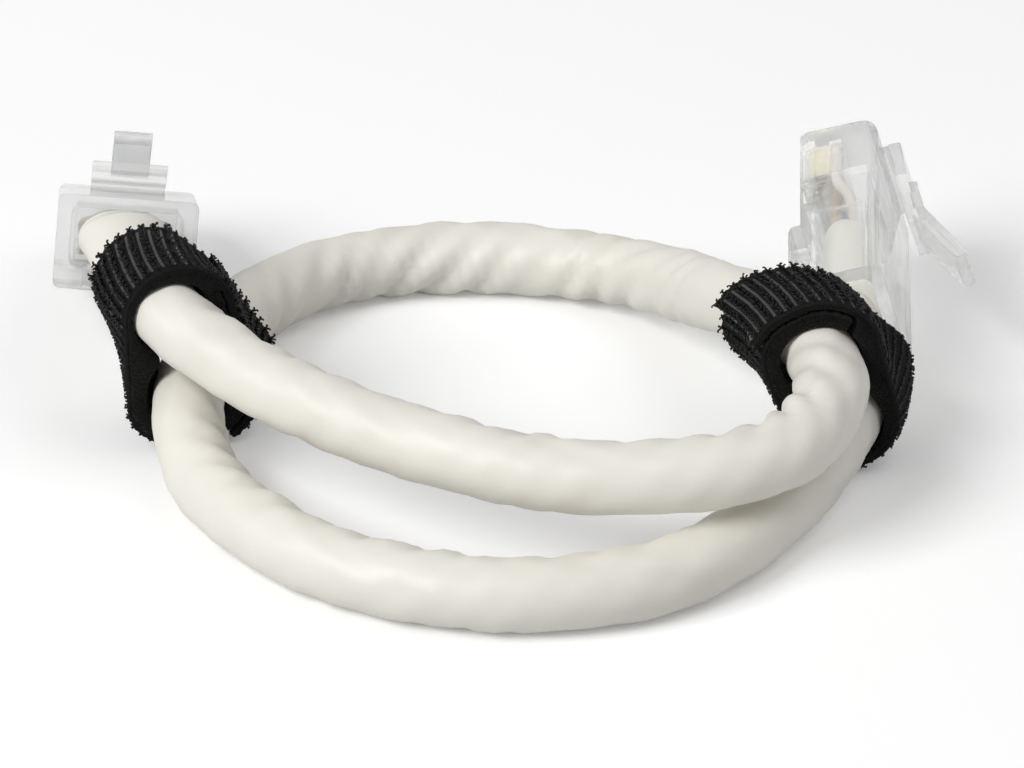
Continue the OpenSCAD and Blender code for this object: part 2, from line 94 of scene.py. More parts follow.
def catmull(points: Points, steps: int) -> Points:
    """A Catmull-Rom curve through points.

    Args:
        points: The points that the curve passes.
        steps: How many samples each stretch gets.

    Returns:
        The samples, the last point included.
    """
    n = len(points)
    out = []
    for i in range(n - 1):
        a, b, c, d = (points[k] for k in (max(i - 1, 0), i, i + 1, min(i + 2, n - 1)))
        for t in np.arange(steps) / steps:
            out.append(0.5 * (2 * b + (c - a) * t + (2 * a - 5 * b + 4 * c - d) * t**2
                              + (3 * b - a - 3 * c + d) * t**3))
    return np.array(out + [points[-1]])


def mesh_piece(name: str, points: Points, faces: Sequence[Sequence[int]],
               material: Material) -> bpy.types.Object:
    """A smooth mesh object that rides on the cable's body.

    Args:
        name: The piece's name.
        points: Its vertices, in metres.
        faces: Its faces.
        material: Its finish.

    Returns:
        The new object.
    """
    mesh = bpy.data.meshes.new(name)
    mesh.from_pydata([tuple(map(float, p)) for p in points], [], [tuple(map(int, f)) for f in faces])
    mesh.validate()
    mesh.polygons.foreach_set("use_smooth", [True] * len(mesh.polygons))
    mesh.materials.append(material)
    mesh.update()
    obj = bpy.data.objects.new(name, mesh)
    bpy.context.scene.collection.objects.link(obj)
    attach(obj, ROOT_BODY)
    return obj


def dress(node: str, material: Material) -> None:
    """Gives a CAD node a finish.

    Args:
        node: The node's name.
        material: Its finish.
    """
    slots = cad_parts[node].data.materials
    slots.clear()
    slots.append(material)


def tube_faces(rings: int, sides: int) -> Faces:
    """Quads between the rings of a tube.

    Args:
        rings: The number of rings.
        sides: The points of each ring.

    Returns:
        The faces.
    """
    i, k = np.meshgrid(np.arange(rings - 1), np.arange(sides), indexing="ij")
    a = i * sides + k
    b = i * sides + (k + 1) % sides
    quads = np.stack([a, b, b + sides, a + sides], -1).reshape(-1, 4)
    return [tuple(q) for q in quads.tolist()]


def swept_rings(path: Points, radius: float, sides: int) -> Points:
    """Rings of a round tube along a path that never runs straight up.

    Args:
        path: The tube's middle line.
        radius: Its radius.
        sides: The points of each ring.

    Returns:
        The points, ring by ring.
    """
    run = unit(np.gradient(path, axis=0))
    side = unit(np.cross(UP, run))
    up = np.cross(run, side)
    angle = angles(sides)[None, :, None]
    ring = side[:, None] * np.cos(angle) + up[:, None] * np.sin(angle)
    return (path[:, None] + radius * ring).reshape(-1, 3)


# ---------------------------------------------------------------- shader graph


class Wire:
    """A socket of a shader graph, on which expressions add Math nodes."""

    def __init__(self, graph: "Graph", socket: bpy.types.NodeSocket) -> None:
        """Wraps an output socket of a graph."""
        self.graph = graph
        self.socket = socket

    def _math(self, operation: str, *others: Any, swap: bool = False) -> "Wire":
        """A Math node on this wire and others.

        Args:
            operation: The node's operation.
            *others: The other terms, wires or numbers.
            swap: Whether the terms change places.

        Returns:
            The node's value.
        """
        terms = [self, *others]
        return self.graph.node("ShaderNodeMath", {"operation": operation},
                               dict(enumerate(terms[::-1] if swap else terms)))

    def __add__(self, other: Any) -> "Wire":
        """self + other."""
        return self._math("ADD", other)

    def __radd__(self, other: Any) -> "Wire":
        """other + self."""
        return self._math("ADD", other)

    def __sub__(self, other: Any) -> "Wire":
        """self - other."""
        return self._math("SUBTRACT", other)

    def __rsub__(self, other: Any) -> "Wire":
        """other - self."""
        return self._math("SUBTRACT", other, swap=True)

    def __mul__(self, other: Any) -> "Wire":
        """self * other."""
        return self._math("MULTIPLY", other)

    def __rmul__(self, other: Any) -> "Wire":
        """other * self."""
        return self._math("MULTIPLY", other)

    def limited(self) -> "Wire":
        """This value held between 0 and 1."""
        return self._math("MINIMUM", 1.0)._math("MAXIMUM", 0.0)

    def between(self, low: float, high: float) -> "Wire":
        """This value, from 0 to 1, spread from low to high."""
        return self * (high - low) + low

    def step(self, low: float, high: float) -> "Wire":
        """A smooth step of this value, 0 below low and 1 above high.

        Args:
            low: The value at which it starts.
            high: The value at which it ends.

        Returns:
            The step.
        """
        return self.graph.node("ShaderNodeMapRange",
                               {"interpolation_type": "SMOOTHSTEP", "data_type": "FLOAT"},
                               {"Value": self, "From Min": low, "From Max": high})


class Graph:
    """A node tree, with one method that adds any node to it."""

    def __init__(self, tree: bpy.types.NodeTree) -> None:
        """Takes the node tree."""
        self.tree = tree

    def own(self, kind: str) -> bpy.types.Node:
        """The node of one kind that the tree starts with."""
        return next(n for n in self.tree.nodes if n.type == kind)

    def feed(self, socket: bpy.types.NodeSocket, value: Any) -> None:
        """Links a wire to a socket, or sets the socket's own value.

        Args:
            socket: The input socket.
            value: A wire, a number, a vector or a colour.
        """
        if isinstance(value, Wire):
            self.tree.links.new(value.socket, socket)
        elif isinstance(value, tuple) and len(value) == 3 and len(socket.default_value) == 4:
            socket.default_value = (*value, 1.0)
        else:
            socket.default_value = value

    def node(self, kind: str, settings: dict[str, Any] | None = None,
             inputs: dict[Any, Any] | None = None, output: Any = 0) -> Wire:
        """Adds a node.

        Args:
            kind: The node's type.
            settings: Its settings.
            inputs: Values or wires by the name or number of a socket.
            output: The name or number of the output that is returned.

        Returns:
            The output as a wire.
        """
        made = self.tree.nodes.new(kind)
        for key, value in (settings or {}).items():
            setattr(made, key, value)
        for key, value in (inputs or {}).items():
            self.feed(made.inputs[key], value)
        return Wire(self, made.outputs[output])

    @cached_property
    def place(self) -> Wire:
        """The place of a point in the object's own space."""
        return self.node("ShaderNodeTexCoord", output="Object")

    def noise(self, scale: float, detail: float = 3.0, roughness: float = 0.5,
              stretch: Place = (1.0, 1.0, 1.0)) -> Wire:
        """Noise in the object's own space.

        Args:
            scale: Its scale, in waves to the metre.
            detail: How many octaves it has.
            roughness: How strong the finer octaves are.
            stretch: A factor for each axis.

        Returns:
            A value from 0 to 1.
        """
        place = self.node("ShaderNodeMapping", {}, {"Vector": self.place, "Scale": stretch})
        return self.node("ShaderNodeTexNoise", {},
                         {"Vector": place, "Scale": scale, "Detail": detail, "Roughness": roughness})

    def blend(self, factor: Wire | float, a: Wire | Colour, b: Wire | Colour) -> Wire:
        """A colour between a and b."""
        return self.node("ShaderNodeMix", {"data_type": "RGBA"}, {0: factor, 6: a, 7: b}, 2)

    def bump(self, height: Wire, strength: float, distance: float,
             normal: Wire | None = None) -> Wire:
        """A normal bent by a height.

        Args:
            height: The height, from 0 to 1.
            strength: How strong the bump is.
            distance: The depth that a height of 1 stands for, in metres.
            normal: A normal that is bent further.

        Returns:
            The new normal.
        """
        inputs: dict[Any, Any] = {"Height": height, "Strength": strength, "Distance": distance}
        if normal is not None:
            inputs["Normal"] = normal
        return self.node("ShaderNodeBump", {}, inputs)

    def seen(self) -> Wire:
        """Tells what is seen, also in gloss and through clear pieces, from what only lights.

        Returns:
            1 for what is seen, and 0 for what only lights.
        """
        camera, gloss, clear = (self.node("ShaderNodeLightPath", output=f"Is {ray} Ray")
                                for ray in ("Camera", "Glossy", "Transmission"))
        return (camera + gloss + clear).limited()


class MaterialGraph(Graph):
    """The node tree of one material, with a Principled shader at its end."""

    def __init__(self, name: str) -> None:
        """Makes a material with an empty Principled shader.

        Args:
            name: The material's name.
        """
        self.material = bpy.data.materials.new(name)
        self.material.use_nodes = True
        super().__init__(self.material.node_tree)
        self.shader = self.own("BSDF_PRINCIPLED")

    def shade(self, **values: Any) -> Material:
        """Sets the Principled shader's sockets and returns the material.

        Args:
            **values: Values or wires by socket name, with _ for a space.

        Returns:
            The finished material.
        """
        for key, value in values.items():
            self.feed(self.shader.inputs[key.replace("_", " ")], value)
        return self.material

    def surface(self, shader: Wire) -> None:
        """Puts another shader at the material's end."""
        self.feed(self.own("OUTPUT_MATERIAL").inputs["Surface"], shader)


# ---------------------------------------------------------------- finishes


@dataclass(frozen=True)
class JacketFinish:
    """Warm white satin vinyl, slightly uneven from the extruder and a little scuffed."""

    colour: Colour = (0.875, 0.85, 0.775)
    hollow: Colour = (0.82, 0.795, 0.72)
    rough: Span = (0.36, 0.56)

    def make(self) -> Material:
        """Builds the material.

        Returns:
            The jacket's vinyl.
        """
        g = MaterialGraph("jacket_vinyl")
        broad = g.noise(90.0)
        fine = g.noise(2600.0, detail=4.0, roughness=0.6)
        grain = g.noise(9000.0, detail=2.0, roughness=0.6)
        tone = (broad.step(0.35, 0.7) * 0.55 + fine * 0.35).limited()
        return g.shade(
            Base_Color=g.blend(tone, self.colour, self.hollow),
            Roughness=(fine * 0.6 + broad * 0.4).between(*self.rough),
            Normal=g.bump(fine * 0.6 + grain * 0.4, strength=0.35, distance=0.00006),
            IOR=1.5,
        )


@dataclass(frozen=True)
class ClearFinish:
    """Clear moulded polycarbonate, a little milky, with flow marks, dust and eased edges.

    dull is the least roughness, body the share of the surface that isn't see-through, milk
    the share that scatters, and edge the radius of the edges in metres.
    """

    name: str
    colour: Colour = (0.968, 0.972, 0.968)
    flowed: Colour = (0.925, 0.935, 0.925)
    dull: float = 0.03
    duller: float = 0.1
    body: float = 0.78
    milk: float = 0.14
    edge: float = 0.00016
    index: float = 1.36

    def make(self) -> Material:
        """Builds the material.

        Returns:
            The clear plastic.
        """
        g = MaterialGraph(self.name)
        flow = g.noise(420.0, detail=2.0, stretch=(1.0, 0.35, 1.0))
        dust = g.noise(5200.0, roughness=0.7)
        haze = (flow * 0.5 + dust.step(0.55, 0.8) * 0.5).limited()
        eased = g.node("ShaderNodeBevel", {"samples": 4}, {"Radius": self.edge})
        return g.shade(
            Base_Color=g.blend(flow, self.colour, self.flowed),
            Roughness=haze.between(self.dull, self.dull + self.duller),
            Normal=g.bump(flow, strength=0.25, distance=0.00012, normal=eased),
            IOR=self.index,
            Transmission_Weight=1.0 - self.milk,
            Alpha=self.body,
        )


@dataclass(frozen=True)
class GoldFinish:
    """Thin gold over nickel on a stamped blade."""

    gold: Colour = (0.93, 0.83, 0.58)
    worn: Colour = (0.88, 0.79, 0.57)
    rough: Span = (0.16, 0.34)

    def make(self) -> Material:
        """Builds the material.

        Returns:
            The contacts' metal.
        """
        g = MaterialGraph("contact_gold")
        drawn = g.noise(7000.0, roughness=0.6, stretch=(1.0, 0.12, 1.0))
        patch = g.noise(900.0, detail=2.0)
        return g.shade(
            Base_Color=g.blend(patch.step(0.3, 0.75), self.gold, self.worn),
            Roughness=drawn.between(*self.rough),
            Metallic=1.0,
            Normal=g.bump(drawn, strength=0.2, distance=0.00003),
        )


@dataclass(frozen=True)
class InsulationFinish:
    """Coloured insulation of one conductor or pair, or the plastic of the separator."""

    name: str
    colour: Colour
    shade: float = 0.86
    rough: Span = (0.26, 0.42)

    def make(self) -> Material:
        """Builds the material.

        Returns:
            The insulation's plastic.
        """
        g = MaterialGraph("insulation_" + self.name)
        mottle = g.noise(1400.0)
        darker = tuple(self.shade * c for c in self.colour)
        return g.shade(
            Base_Color=g.blend(mottle, self.colour, darker),
            Roughness=mottle.between(*self.rough),
            Normal=g.bump(mottle, strength=0.2, distance=0.00004),
            IOR=1.5,
        )


@dataclass(frozen=True)
class FabricFinish:
    """Black nylon of a tie: its woven base, its smooth strips, its brushed loops or its hooks.

    thread is the weave's scale in threads to the metre, and depth its relief in metres.
    """

    name: str
    colour: Colour
    lighter: Colour
    thread: float
    rough: Span
    depth: float = 0.00012
    sheen: float = 0.0
    shine: float = 0.5

    def make(self) -> Material:
        """Builds the material.

        Returns:
            The nylon.
        """
        g = MaterialGraph(self.name)
        weave = g.node("ShaderNodeTexVoronoi", {"feature": "F1"},
                       {"Vector": g.place, "Scale": self.thread, "Randomness": 0.75}, "Distance")
        worn = g.noise(700.0, roughness=0.6)
        fibre = g.noise(self.thread * 1.7, roughness=0.7)
        height = (1.0 - weave) * 0.6 + fibre * 0.4
        tone = (fibre * 0.6 + worn * 0.4).step(0.35, 0.75)
        return g.shade(
            Base_Color=g.blend(tone, self.colour, self.lighter),
            Roughness=fibre.between(*self.rough),
            Normal=g.bump(height, strength=0.8, distance=self.depth),
            Sheen_Weight=self.sheen,
            Sheen_Roughness=0.5,
            Specular_IOR_Level=self.shine,
        )


class TieNylon(Enum):
    """The four kinds of nylon on a tie."""

    TAPE = FabricFinish("tie_tape", colour=(0.007, 0.007, 0.007), lighter=(0.014, 0.014, 0.013),
                        thread=2600.0, rough=(0.85, 1.0), shine=0.15)
    STRIP = FabricFinish("tie_gap", colour=(0.022, 0.022, 0.022), lighter=(0.045, 0.045, 0.044),
                         thread=5200.0, rough=(0.35, 0.55), depth=0.00003)
    LINING = FabricFinish("tie_lining", colour=(0.005, 0.005, 0.005), lighter=(0.012, 0.012, 0.011),
                          thread=3800.0, rough=(0.9, 1.0), depth=0.00025, sheen=0.05, shine=0.1)
    HOOK = FabricFinish("tie_hook", colour=(0.004, 0.004, 0.004), lighter=(0.011, 0.011, 0.01),
                        thread=5200.0, rough=(0.4, 0.6), depth=0.00002, shine=0.25)


# ---------------------------------------------------------------- camera


@dataclass
class View:
    """The camera and its frame."""

    width_px: float = 1024.0
    focal_px: float = 6330.0
    sensor: float = 36.0
    place: Place = (0.0005, -0.4498, 0.2652)
    tilt_deg: float = 60.0
    clip: Span = (0.02, 20.0)

    def build(self) -> None:
        """Makes the scene's camera."""
        data = bpy.data.cameras.new("camera")
        data.sensor_width = self.sensor
        data.lens = self.focal_px / self.width_px * self.sensor
        data.clip_start, data.clip_end = self.clip
        camera = bpy.data.objects.new("camera", data)
        camera.location = self.place
        camera.rotation_euler = (math.radians(self.tilt_deg), 0.0, 0.0)
        bpy.context.scene.collection.objects.link(camera)
        bpy.context.scene.camera = camera


# ---------------------------------------------------------------- plug pose and cable path


@dataclass(frozen=True)
class PlugPose:
    """Where a plug's rear face lies on the cable's axis, and how the plug is turned."""

    at: Place
    heading: float
    pitch: float
    roll: float

    def matrix(self) -> Points:
        """The plug's axes.

        Returns:
            The axes as columns.
        """
        h, p, r = (math.radians(a) for a in (-self.heading, self.pitch, self.roll))
        turn_h = np.array([[math.cos(h), -math.sin(h), 0], [math.sin(h), math.cos(h), 0], [0, 0, 1]])
        turn_p = np.array([[1, 0, 0], [0, math.cos(p), -math.sin(p)], [0, math.sin(p), math.cos(p)]])
        turn_r = np.array([[math.cos(r), 0, math.sin(r)], [0, 1, 0], [-math.sin(r), 0, math.cos(r)]])
        return turn_h @ turn_p @ turn_r

    def placed(self, points: Any) -> Points:
        """Points in the plug's own millimetres, moved to the winding's."""
        return np.asarray(self.at) + np.asarray(points, float) @ self.matrix().T


@dataclass
class CablePath:
    """The middle line of the cable and the turn and flattening of its section.

    Lengths are the winding's millimetres, and mid is what lies over the model's origin. Each
    stretch of the route has fine samples. Places along the route, param, count coarse to each
    stretch. The fades are numbers of stretches.
    """

    mid: Place = (-0.5, 2.5, 0.0)
    cable_d: float = 5.9
    floor_z: float = 2.98
    exit_l: float = 1.5
    grip: float = 10.0
    clamped_width: float = 1.25
    clamped_height: float = 0.78
    clamp_fade: float = 3.0
    bulge_rise: float = 0.5
    bulge_end: float = 0.75
    bulge_fade: float = 1.25
    roll_fade: float = 12.0
    fine: int = 8
    coarse: int = 2
    pose: dict[str, PlugPose] = field(default_factory=lambda: {
        "a": PlugPose((-32, 13.5, 12.9), -4.3, -25.8, 6.4),
        "b": PlugPose((28.4, 8.6, 7.3), 2, 6, 74),
    })

    def __post_init__(self) -> None:
        """Lays out the route from the first plug to the second."""
        z = self.floor_z
        free = [
            (-31, 8.5, 12.9), (-28.2, 1.8, 12.7), (-22.5, -4.2, 11.2),
            (-15, -10.2, 10.4), (-7, -14.8, 9.8), (1.5, -18, 9.4), (10, -19.3, 9.5),
            (17, -18.4, 9.8), (22.2, -15.4, 10.1), (25.2, -10, 10.3), (25.6, -4.5, 10.5),
            (24.2, 0.5, 10.6), (21.4, 5.4, 10.4), (18.3, 10.4, 8.9), (16, 15.8, 6.7),
            (12.5, 21.6, 4.8), (7, 26.4, 3.3), (0, 28.4, z), (-8, 28.4, z),
            (-15.5, 25.8, 3.1), (-20.8, 20, 3.8), (-24, 13.2, 4.5), (-26.1, 6, 4.7),
            (-26.5, -1.5, 4.6), (-24.6, -9, 3.1), (-20, -16.5, z),
            (-12.5, -22.6, z), (-3.5, -25.8, z), (5.5, -25.7, z),
            (14, -22, z), (20.6, -14.4, z), (24.9, -7, 3.8), (27.4, -0.7, 4.5),
            (28.2, 3.4, 5.9)]
        a, b = self.pose["a"], self.pose["b"]
        route = np.array([a.placed((0, y, 0)) for y in (self.grip, 0, -self.exit_l)]
                         + [np.array(p, float) for p in free]
                         + [b.placed((0, y, 0)) for y in (-self.exit_l, 0, self.grip)])
        self.line = catmull(route, self.fine)
        self.param = np.arange(len(self.line)) * self.coarse / self.fine
        self.last = self.param[-1]

    def model(self, points: Points) -> Points:
        """Points of the winding's millimetres, in the model's metres."""
        return (np.asarray(points) - np.asarray(self.mid)) * MM

    def outside(self, param: Points) -> Points:
        """How many stretches lie between each place and the nearer plug's rear face."""
        return np.minimum(param, self.last - param) / self.coarse - 1

    def clamped(self, param: Points) -> Points:
        """1 where a plug clamps the jacket, 0 along the free cable."""
        return 1 - smooth(self.outside(param) / self.clamp_fade)

    def mouth(self, param: Points) -> Points:
        """Where the squeezed jacket bulges, just outside a plug.

        Args:
            param: Places along the route.

        Returns:
            1 on the bulge, 0 elsewhere.
        """
        outside = self.outside(param)
        return smooth(outside / self.bulge_rise) * (
            1 - smooth((outside - self.bulge_end) / self.bulge_fade))

    def roll(self, param: Points) -> Points:
        """The turn of the section about the cable.

        Args:
            param: Places along the route.

        Returns:
            The angle at each place, in radians.
        """
        reach = self.roll_fade * self.coarse
        a = 1 - smooth((param - self.coarse) / reach)
        b = 1 - smooth((self.last - self.coarse - param) / reach)
        return np.radians(-self.pose["a"].roll * a + self.pose["b"].roll * b)

    def axes(self, line: Points, param: Points) -> tuple[Points, Points]:
        """The wide and the high axis of each section, scaled by the clamping.

        Args:
            line: The samples of the middle line.
            param: Their places along the route.

        Returns:
            The two axes of each sample.
        """
        run = unit(np.gradient(line, axis=0))
        up = unit(UP - run[:, 2:3] * run)
        side = np.cross(run, up)
        turn = self.roll(param)[:, None]
        high = up * np.cos(turn) + side * np.sin(turn)
        squeeze = self.clamped(param)[:, None]
        wide = np.cross(high, run) * (1 + (self.clamped_width - 1) * squeeze)
        return wide, high * (1 + (self.clamped_height - 1) * squeeze)

    def crossing(self, window: Span, y: float) -> tuple[Points, Points]:
        """Where a strand passes the plane y.

        Args:
            window: The part of the route that is searched.
            y: The plane.

        Returns:
            The point and the strand's direction.
        """
        for i in range(len(self.line) - 1):
            if window[0] <= self.param[i] < window[1]:
                p, q = self.line[i], self.line[i + 1]
                if (p[1] - y) * (q[1] - y) <= 0 and p[1] != q[1]:
                    return p + (q - p) * (y - p[1]) / (q[1] - p[1]), unit(q - p)
        raise ValueError(f"no strand passes y = {y} in {window}")


# ---------------------------------------------------------------- cable


@dataclass(frozen=True)
class Ripple:
    """A smooth random function over the jacket, made of a few sines.

    The waves run along the cable, from longest to shortest in millimetres. Their crests lean to
    and fro round it by lean millimetres.
    """

    seed: int
    count: int
    longest: float
    shortest: float
    lean: float = 0.0
    phase: float = 0.0
    rate_spread: Span = (0.85, 1.15)
    weight_spread: Span = (0.6, 1.0)

    def at(self, way: Points, angle: Points) -> Points:
        """The function's values.

        Args:
            way: The distance along the cable of each ring, as a column.
            angle: The angle of each point of a ring, as a row.

        Returns:
            Values mostly between -1 and 1.
        """
        rng = np.random.default_rng(self.seed)
        rates = np.geomspace(1 / self.longest, 1 / self.shortest, self.count)
        rates = rates * rng.uniform(*self.rate_spread, self.count)
        phases = rng.uniform(0, 2 * math.pi, self.count)
        weights = rng.uniform(*self.weight_spread, self.count)
        weights /= np.sqrt((weights**2).sum())
        x = way + self.lean * np.sin(angle + self.phase)
        return sum(w * np.sin(2 * math.pi * r * x + p) for w, r, p in zip(weights, rates, phases))


@dataclass
class Jacket:
    """The outer jacket, drawn over the twisted pairs so that their lay shows in it.

    lump is the height of the ridges over the pairs, crease that of the folds inside the bends,
    sag that of the broad dents, and swell that of the bulge outside a plug. lay is the length of
    one turn of the pairs, which drifting sets out of step. bend_r is the radius of a tight bend.
    fade and inside each give the ridges' strength a mean and a swing, along the cable and round
    a bend, which fade_range and inside_range limit.
    """

    path: CablePath
    sides: int = 64
    wall: float = 0.5
    rim: float = 0.12
    lowest: float = 0.01
    lump: float = 0.27
    crease: float = 0.12
    sag: float = 0.1
    swell: float = 0.3
    lay: float = 15.6
    pairs: int = 4
    bend_r: float = 20.0
    valley: float = 1.8
    ridge_mean: float = 0.15
    drift: float = 1.1
    drifting: Ripple = Ripple(seed=12, count=5, longest=60.0, shortest=11.0)
    fade: Span = (0.68, 0.45)
    fade_range: Span = (0.25, 1.3)
    fading: Ripple = Ripple(seed=11, count=6, longest=60.0, shortest=9.0, lean=2.5, phase=1.0)
    inside: Span = (0.6, 0.75)
    inside_range: Span = (0.3, 1.25)
    fold_pitch: float = 2.3
    fold_lean: Span = (1.6, 2.2)
    fold_sharpness: float = 3.0
    fold_from: float = 0.85
    fold_over: float = 0.5
    denting: tuple[Ripple, ...] = (
        Ripple(seed=13, count=6, longest=34.0, shortest=7.0, lean=5.0, phase=0.9),
        Ripple(seed=14, count=6, longest=28.0, shortest=6.0, lean=8.0, phase=math.pi / 2 - 0.4))
    dent: float = 0.6
    squeeze: float = 1.4

    def relief(self, way: Points, angle: Points, bent: Points) -> Points:
        """How far the surface stands out of the round, in millimetres.

        Args:
            way: The distance along the cable of each ring, as a column.
            angle: The angle of each point of a ring, as a row.
            bent: How much each point lies on the inside of a bend.

        Returns:
            The height of each point.
        """
        drift = self.drift * self.drifting.at(way, angle)
        fade = np.clip(self.fade[0] + self.fade[1] * self.fading.at(way, angle), *self.fade_range)
        phase = self.pairs * angle + 2 * math.pi * self.pairs * way / self.lay + drift
        hill = 0.5 + 0.5 * np.sin(phase)
        ridges = 1 - 2 * (1 - hill) ** self.valley - self.ridge_mean
        strength = np.clip(self.inside[0] + self.inside[1] * bent, *self.inside_range)
        lean, sway = self.fold_lean
        fold = np.sin(2 * math.pi * way / self.fold_pitch + lean * angle + sway * drift)
        folds = (0.5 + 0.5 * fold) ** self.fold_sharpness
        tight = np.clip((bent - self.fold_from) / self.fold_over, 0, 1)
        dents = sum(self.dent * ripple.at(way, angle) for ripple in self.denting)
        return self.lump * strength * fade * ridges - self.crease * tight * folds + self.sag * dents

    def bent(self, line: Points, outline: Points) -> Points:
        """How much each point lies on the inside of a bend.

        Args:
            line: The samples of the middle line.
            outline: The directions from each sample to the points of its ring.

        Returns:
            1 on the inside of a tight bend, 0 on a straight stretch, below 0 on the outside.
        """
        slope = np.gradient(line, axis=0)
        bend = np.gradient(unit(slope), axis=0) / np.linalg.norm(slope, axis=1)[:, None]
        blur = np.hanning(2 * self.path.fine + 1)
        bend = np.stack([np.convolve(bend[:, k], blur / blur.sum(), "same") for k in range(3)], -1)
        return (unit(outline) * bend[:, None]).sum(-1) * self.bend_r

    def rings(self) -> Points:
        """The rings of the jacket, out along its surface and back along its bore.

        Returns:
            A grid of points, ring by ring.
        """
        p = self.path
        line, param = p.line, p.param
        wide, high = p.axes(line, param)
        angle = angles(self.sides)
        outline = (wide[:, None] * np.cos(angle)[None, :, None]
                   + high[:, None] * np.sin(angle)[None, :, None])
        relief = self.relief(travelled(line)[:, None], angle[None, :], self.bent(line, outline))
        free = 1 - smooth(p.clamped(param) * self.squeeze)
        r = p.cable_d / 2 + relief * free[:, None] + self.swell * p.mouth(param)[:, None]
        outer = line[:, None] + outline * r[:, :, None]
        lift(outer, self.lowest)
        bore = line[:, None] + outline * (p.cable_d / 2 - self.wall)
        ends = []
        for i, inward in ((0, line[1] - line[0]), (-1, line[-2] - line[-1])):
            ends.append(outer[i] - outline[i] * self.rim)
            outer[i] += unit(inward) * self.rim
        return np.concatenate([ends[0][None], outer, ends[1][None], bore[::-1]])

    def build(self, material: Material) -> None:
        """Args:
            material: The jacket's finish.
        """
        p = self.path
        rings = self.rings()
        count, n = rings.shape[:2]
        last = (count - 1) * n
        faces = tube_faces(count, n)
        faces += [(last + k, last + (k + 1) % n, (k + 1) % n, k) for k in range(n)]
        jacket = mesh_piece("jacket_vinyl", p.model(rings.reshape(-1, 3)), faces, material)
        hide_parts("cable_jacket")
        tuple(p.model(p.line[0]))
        [tuple(q) for q in p.model(p.line)]


# ---------------------------------------------------------------- ties


@dataclass(frozen=True)
class Slack:
    """Spare room beside a strand, across and up, at the front and the back of a tie."""

    front: Span = (0.0, 0.0)
    back: Span = (0.0, 0.0)

    def at(self, share: float) -> Points:
        """The room at a share of the tie's width."""
        return np.array(self.front) * (1 - share) + np.array(self.back) * share


@dataclass(frozen=True)
class Strand:
    """The stretch of the cable that passes a tie, and the room beside it."""

    window: Span
    slack: Slack = Slack()


class Winding(Enum):
    """The way round in which a tie is wound, seen from the front."""

    CLOCKWISE = -1
    ANTICLOCKWISE = 1


@dataclass(frozen=True)
class Filament:
    """One bent filament: its points, ahead and up, and its radius at each in millimetres."""

    line: tuple[Span, ...]
    radii: tuple[float, ...]
    sides: int


HOOK_FORM = Filament(
    line=((0.0, -0.1), (0.1, 0.35), (0.2, 0.7), (0.34, 0.95), (0.54, 1.02), (0.66, 0.84)),
    radii=(0.1, 0.098, 0.092, 0.088, 0.078, 0.062), sides=4)
FIBRE_FORM = Filament(
    line=((0, 0), (0.08, 0.35), (0.3, 0.65), (0.6, 0.8)),
    radii=(0.022, 0.02, 0.017, 0.012), sides=3)


